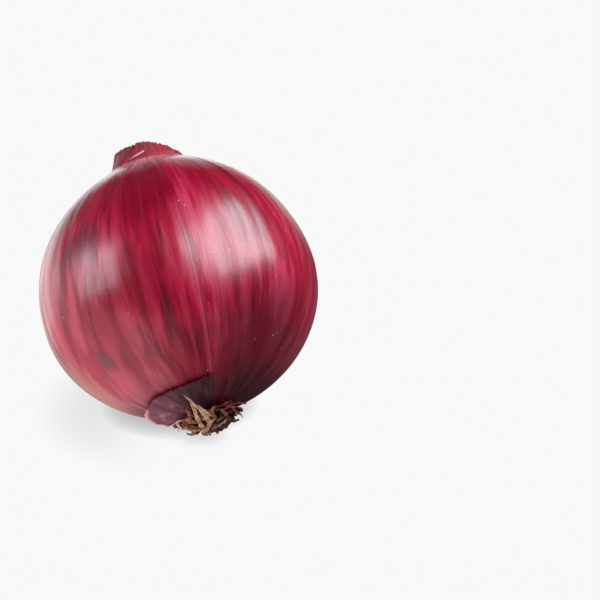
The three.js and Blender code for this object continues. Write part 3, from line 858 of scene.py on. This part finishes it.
# ----------------------------------------
# Roots: dried fibrous roots, flattened and crinkled, tan, brown or purple. The purple ones, on
# the right of the tuft, are partly painted shade. A tuft of short ones hangs from the plate, two
# long straps lean over the flap, one curls back in a loop, and more are tangled between them.
# ----------------------------------------
ROOT_COUNT = 16
ROOT_SIDES = 14
ROOT_RADIUS = 0.405
ROOT_LENGTH = 3.4
ROOT_SPREAD = 3.6
ROOT_BEND = [
    # share of the spread, share of the length, swing round the axis in radians
    (0, 0, 0), (0.05, 0.5, 0.02), (0.5, 1, 0.08), (1, 0.9, 0.16), (1.05, 0.55, 0.3),
]
STRAND_STAND_OFF = SKIN_GAP + FLAP_LIFT + 1.25
FIRST_STRAND = [
    # side in degrees, reach beyond the plate's edge, height above the stand-off
    (-114, -1, 1.6), (-114, 2.1, 1.9), (-117, 6.6, 1.1), (-124, 14.2, 0),
]
TOWARDS_AXIS = (0, 0, 1)
OUT_OF_TUFT = (0.31, 0.52, 0.79)  # the flat side of most roots faces this way
GOLDEN_ANGLE = math.pi * (3 - math.sqrt(5))


def through(stops, count):
    """A smooth line of points through the stops: each stretch is the cubic whose slope at a stop
    is half the step between the stops on both sides of it."""
    stops = np.array(stops, dtype=float)
    padded = np.concatenate([2 * stops[:1] - stops[1:2], stops, 2 * stops[-1:] - stops[-2:-1]])
    place = np.linspace(0, len(stops) - 1 - 1e-9, count)
    stretch = place.astype(int)
    t = (place - stretch)[:, None]
    a, b, c, d = (padded[stretch + k] for k in range(4))
    return 0.5 * (2 * b + (c - a) * t + (2 * a - 5 * b + 4 * c - d) * t ** 2 + (3 * b - a - 3 * c + d) * t ** 3)


def dried_root(name, stops, thickness, seed, finish, flat=0.5, crinkle=0.1, count=70, facing=OUT_OF_TUFT):
    """A tube along a line, whose radius thins towards its end. Its section is an oval, flat times
    wider than it would be round and as much thinner, with shallow grooves, which faces one way and
    turns a little along it. The line is crinkled by seeded waves."""
    rng = np.random.default_rng(seed)
    line = through(stops, count)
    along = np.linspace(0, 1, count)[:, None]
    waves = sum(
        rng.normal(0, 1, (1, 3)) * np.sin(2 * np.pi * along * rate + rng.uniform(0, 6.3)) / rate ** 0.5
        for rate in (3, 5, 8, 13)
    )
    line = line + crinkle * waves * smooth(0, 0.12, along)
    forward = np.gradient(line, axis=0)
    forward = forward / np.linalg.norm(forward, axis=1, keepdims=True)
    sideways = np.cross(forward, np.array(facing))
    sideways = sideways / np.linalg.norm(sideways, axis=1, keepdims=True)
    across = np.cross(forward, sideways)
    turn = np.linspace(0, 2 * np.pi, ROOT_SIDES, endpoint=False)[None, :]
    twist = turn + 0.5 * np.sin(3 * along + rng.uniform(0, 6.3))
    knots = 1 + 0.14 * np.sin(2 * np.pi * along * 6 + rng.uniform(0, 6.3))
    thin = thickness * (1 - 0.55 * along ** 1.5) * knots
    thin = thin * np.clip((1.01 - along) / 0.16, 0, 1) ** 0.7 * (0.75 + 0.25 * smooth(0, 0.05, along))
    grooved = thin * (1 + 0.06 * np.cos(5 * turn + 4 * along))
    wide, narrow = grooved * (1 + flat) * np.cos(twist), grooved * (1 - 0.8 * flat) * np.sin(twist)
    loops = line[:, None] + wide[..., None] * sideways[:, None] + narrow[..., None] * across[:, None]
    piece = mesh_of_loops(name, loops)
    finish.put_on(piece)
    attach(piece, "root")
    return piece


def root_finish(name, dark, pale, stain):
    """Dry fibre in lengthwise streaks from dark to pale, stained in patches and towards its foot."""
    finish = new_finish(name)
    around, along = finish.map_place()
    fibres = finish.streaks(around, along, 1.4, 7, detail=4)
    stains = finish.noise(finish.own_place(), 520, 3)
    tint = finish.mix(finish.step(0.3, 0.65, fibres), (*dark, 1), (*pale, 1))
    tint = finish.mix(finish.step(0.5, 0.64, stains) * 0.8, tint, (*stain, 1))
    tint = finish.mix(finish.step(0.28, 0, along) * 0.7, tint, (*stain, 1))
    finish.put_on(Base_Color=tint, Roughness=0.7, Normal=finish.bump(fibres, 0.00022, 0.8))
    return finish


tan_root = root_finish("tan_root", (0.36, 0.145, 0.07), (0.86, 0.57, 0.34), (0.3, 0.095, 0.045))
brown_root = root_finish("brown_root", (0.22, 0.06, 0.026), (0.5, 0.21, 0.095), (0.14, 0.024, 0.016))
shaded_purple_root = root_finish("shaded_purple_root", (0.07, 0.01, 0.014), (0.24, 0.055, 0.06), (0.055, 0.006, 0.01))

for number in range(ROOT_COUNT):
    outer_share = (number + 0.5) / ROOT_COUNT
    turn = number * GOLDEN_ANGLE
    start = 0.78 * PLATE_RADIUS * math.sqrt(outer_share)
    bend = ROOT_SPREAD * outer_share
    long = ROOT_LENGTH * (0.85 + 0.15 * math.sin(2.3 * number)) * (1 - 0.5 * outer_share)
    base = float(under_plate(start)) - 0.1
    out, fall, swing = np.array(ROOT_BEND).T
    stops = around_axis(start + bend * out, turn + swing, base - long * fall)
    # Roots on the right of the tuft take the purple finish: partly darker roots, partly painted shade.
    rightwards = start * math.cos(turn + 0.36)
    finish = shaded_purple_root if rightwards > 1.2 else (brown_root, tan_root, brown_root)[number % 3]
    short_root = dried_root(f"short_root_{number + 1}", stops, ROOT_RADIUS, 200 + number, finish, flat=0.35)
    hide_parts(f"root_{number + 1}")


def by_side(stops):
    """Points from stops of side in degrees, reach from the axis and height, upright, in mm."""
    sides, reaches, levels = np.array(stops, dtype=float).T
    return around_axis(reaches, np.radians(sides), levels)


sides, beyond, above = np.array(FIRST_STRAND).T
first_line = off_underside(np.radians(sides), PLATE_RADIUS + beyond, STRAND_STAND_OFF + above)
second_line = by_side([
    (-110, 2.6, -38), (-133, 4.6, -40.6), (-131, 7.9, -39.9), (-125, 12.5, -38.3), (-123, 15.9, -36.2),
    (-122, 18.5, -34),
])
third_line = by_side([
    (-135, 4, -38), (-138, 5.8, -40.3), (-148, 7, -40.3), (-160, 8.4, -39.8), (-161, 11.4, -38.6),
    (-157, 12.5, -37.2), (-148, 11.8, -37.3), (-140, 9.9, -38.1), (-132, 7.6, -39.1),
])
long_lines = [(first_line, 0.54), (second_line, 0.5), (third_line, 0.36)]
for number, (line, thickness) in enumerate(long_lines):
    strand = dried_root(
        f"long_strand_{number + 1}", line, thickness, 240 + number, tan_root, crinkle=0.09, count=120,
        facing=TOWARDS_AXIS,
    )
    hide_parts(f"long_root_{number + 1}")

# More flat roots are tangled through the tuft, bent over and curled back in loops.
TANGLE = [
    (tan_root, 0.42, [
        (-112, 2.5, -38), (-139, 4.2, -40.9), (-117, 6.9, -40), (-106, 8.9, -39.3), (-98, 9.2, -38.6),
    ]),
    (tan_root, 0.4, [
        (-119, 16.8, -35.6), (-115, 14.5, -36.9), (-111, 12.5, -37.7), (-106, 9, -38.2), (-98, 5, -37.7),
    ]),
    (brown_root, 0.85, [(-150, 4.6, -37.7), (-165, 7.2, -38.6), (-160, 9.2, -38), (-150, 10.6, -37.4)]),
    (brown_root, 0.75, [(-148, 4, -37.9), (-152, 6, -39.6), (-160, 7.8, -38.9), (-166, 9.6, -38)]),
    (brown_root, 0.6, [
        (-130, 4, -37.7), (-140, 8, -38.2), (-142, 11.2, -37.7), (-133, 13.1, -36.9), (-133, 15.2, -35.4),
    ]),
    (brown_root, 0.6, [(-100, 3.2, -37.7), (-110, 6.4, -38.8), (-118, 9.6, -38.6), (-126, 11, -37.4)]),
    (brown_root, 0.46, [(-90, 4, -37.7), (-103, 9.6, -38.5), (-105, 12.2, -37.3), (-99, 13.6, -36.2)]),
    (brown_root, 0.5, [(-122, 3, -37.9), (-116, 6.2, -39.6), (-112, 8.8, -38.8), (-118, 11.2, -37.6)]),
    (shaded_purple_root, 0.62, [(-70, 3, -37.7), (-51, 5.3, -39.2), (-48, 3.6, -40.4), (-90, 2, -40.9)]),
    (shaded_purple_root, 0.6, [(-60, 4.6, -37.6), (-45, 4.6, -38.9), (-92, 5.2, -40), (-120, 5.6, -40.3)]),
    (shaded_purple_root, 0.6, [(-30, 3, -37.7), (-13, 2.6, -40.2), (-88, 1.6, -40.9), (-122, 4.6, -40.8)]),
    (shaded_purple_root, 0.55, [(-86, 4.4, -37.7), (-82, 8.3, -38.3), (-66, 6.6, -39.3), (-56, 4.8, -40)]),
    (shaded_purple_root, 0.5, [(-20, 5, -37.6), (-12, 6, -38.4), (8, 6.2, -38.6), (24, 5.8, -38.2)]),
    (brown_root, 0.45, [(40, 3.6, -37.7), (48, 5.2, -38.8), (62, 6, -39), (80, 6, -38.2)]),
    (tan_root, 0.4, [(110, 3.8, -37.7), (118, 5.4, -38.7), (132, 6.2, -38.7), (150, 6, -38)]),
    (brown_root, 0.4, [(-76, 5, -37.6), (-78, 8.2, -38.2), (-88, 10.4, -37.6), (-97, 11.6, -36.8)]),
    (brown_root, 0.44, [(-106, 1.5, -37.9), (-118, 3.4, -40.4), (-106, 5.2, -40.8), (-88, 6, -40.2)]),
    (tan_root, 0.3, [(-100, 1, -37.9), (-94, 3.4, -40.2), (-76, 5.6, -40), (-66, 7.4, -38.8)]),
]
for number, (finish, thickness, stops) in enumerate(TANGLE):
    dried_root(f"tangled_root_{number + 1}", by_side(stops), thickness, 400 + number, finish)


# ----------------------------------------
# Floor: a seamless white sweep, much larger than the view, that glows an even white. Painted
# shadows from ambient occlusion darken it where the onion touches it, and faintly away from the lamp.
# ----------------------------------------
FLOOR_SIZE = 4
WHITE = 0.94
TOUCH_SHADE, LAMP_SHADE = 0.006, 0.018  # how far each shade reaches, in metres
SHADED_SIDE = (0.883, -0.469)  # where a neighbour would keep light off the floor
BACK_SIDE = (-0.1, 0.995)
LEFT_SIDE = (-0.925, 0.379)  # away from the key softbox

floor_mesh = bpy.data.meshes.new("floor")
half = FLOOR_SIZE / 2
corners = [(-half, -half, 0), (half, -half, 0), (half, half, 0), (-half, half, 0)]
floor_mesh.from_pydata(corners, [], [(0, 1, 2, 3)])
floor = bpy.data.objects.new("floor", floor_mesh)
bpy.context.collection.objects.link(floor)
white = new_finish("white_sweep")
contact_shadow_ao = white.node("AmbientOcclusion", {"samples": 16}, {"Distance": TOUCH_SHADE}, out=1)
floor_x, floor_y = (white.node("SeparateXYZ", {}, {0: white.own_place()}, out=axis) for axis in (0, 1))
far = (floor_x * floor_x + floor_y * floor_y) ** 0.5 + 0.01
shaded = white.step(-0.05, 0.35, (floor_x * SHADED_SIDE[0] + floor_y * SHADED_SIDE[1]) / far)
backlit = white.step(0.45, 0.8, (floor_x * BACK_SIDE[0] + floor_y * BACK_SIDE[1]) / far)
looked_at = white.node("LightPath", out=0)
mirrored = white.node("LightPath", out=3)
# The glow that reaches the onion is painted light: stronger than the seen white in diffuse light, weaker in
# reflections, dimmer on the shaded side and brighter behind.
lit_plainly = 1.75 + backlit * 0.2 - shaded * 1.6
lit_in_gloss = 0.45 + backlit * 0.87 - shaded * 0.38
lit = lit_plainly * (1 - mirrored) + lit_in_gloss * mirrored
level_white = looked_at * WHITE + (1 - looked_at) * lit
lamp_shadow_ao = white.node("AmbientOcclusion", {"samples": 16}, {"Distance": LAMP_SHADE}, out=1)
on_left = white.step(0.004, 0.032, floor_x * LEFT_SIDE[0] + floor_y * LEFT_SIDE[1])
strength = level_white * white.clamp(0.46 + contact_shadow_ao * 0.58) * (1 - (1 - lamp_shadow_ao) * on_left * 0.32)
glow = white.node("CombineXYZ", {}, {0: strength, 1: strength, 2: strength})
white.put_on(floor, Base_Color=(0, 0, 0, 1), Specular_IOR_Level=0, Emission_Color=glow, Emission_Strength=1)


# ----------------------------------------
# Studio light: a large, slightly blue softbox high on the right, a smaller one
# on the left, and a dark room that is only a little paler behind the onion.
# ----------------------------------------
def softbox(name, towards, level_edge, width, tall, brightness, tint):
    """A rectangular lamp a metre from the onion, which it faces. level_edge is the way its width
    runs, and brightness and tint are those of its surface."""
    lamp = bpy.data.lights.new(name, "AREA")
    lamp.shape = "RECTANGLE"
    lamp.size, lamp.size_y = width, tall
    lamp.energy = brightness * math.pi * width * tall
    lamp.color = tint
    holder = bpy.data.objects.new(name, lamp)
    bpy.context.collection.objects.link(holder)
    away = Vector(towards).normalized()
    upwards = away.cross(Vector(level_edge)).normalized()
    level = upwards.cross(away)
    holder.matrix_world = Matrix([
        (level.x, upwards.x, away.x, ONION_MIDDLE.x + away.x),
        (level.y, upwards.y, away.y, ONION_MIDDLE.y + away.y),
        (level.z, upwards.z, away.z, ONION_MIDDLE.z + away.z),
        (0, 0, 0, 1),
    ])
    holder.visible_camera = False


softbox("key_softbox", (0.525, -0.315, 0.76), (0.835, 0.875, -0.323), 1.32, 0.86, 5.2, (0.9, 1, 1.07))
softbox("fill_softbox", (-0.897, 0.174, 0.407), (0.089, -0.484, 0.468), 0.62, 0.54, 3.7, (1, 1, 1.12))

ROOM_SIDE = (-0.17, 0.985, 0)  # behind the onion
world = bpy.data.worlds.new("room")
bpy.context.scene.world = world
room = Finish(world, "Background")
looking = room.node("TexCoord", out=0)
behind = room.node("VectorMath", {"operation": "DOT_PRODUCT"}, {0: looking, 1: ROOM_SIDE}, out=1)
room_light = room.step(0.6, 0.78, behind) * 0.06 + 0.002
seen = room.node("LightPath", out=0)
room.feed(room.surface.inputs["Color"], (1, 1, 1, 1))
room.feed(room.surface.inputs["Strength"], room_light * (1 - seen) + seen * WHITE)
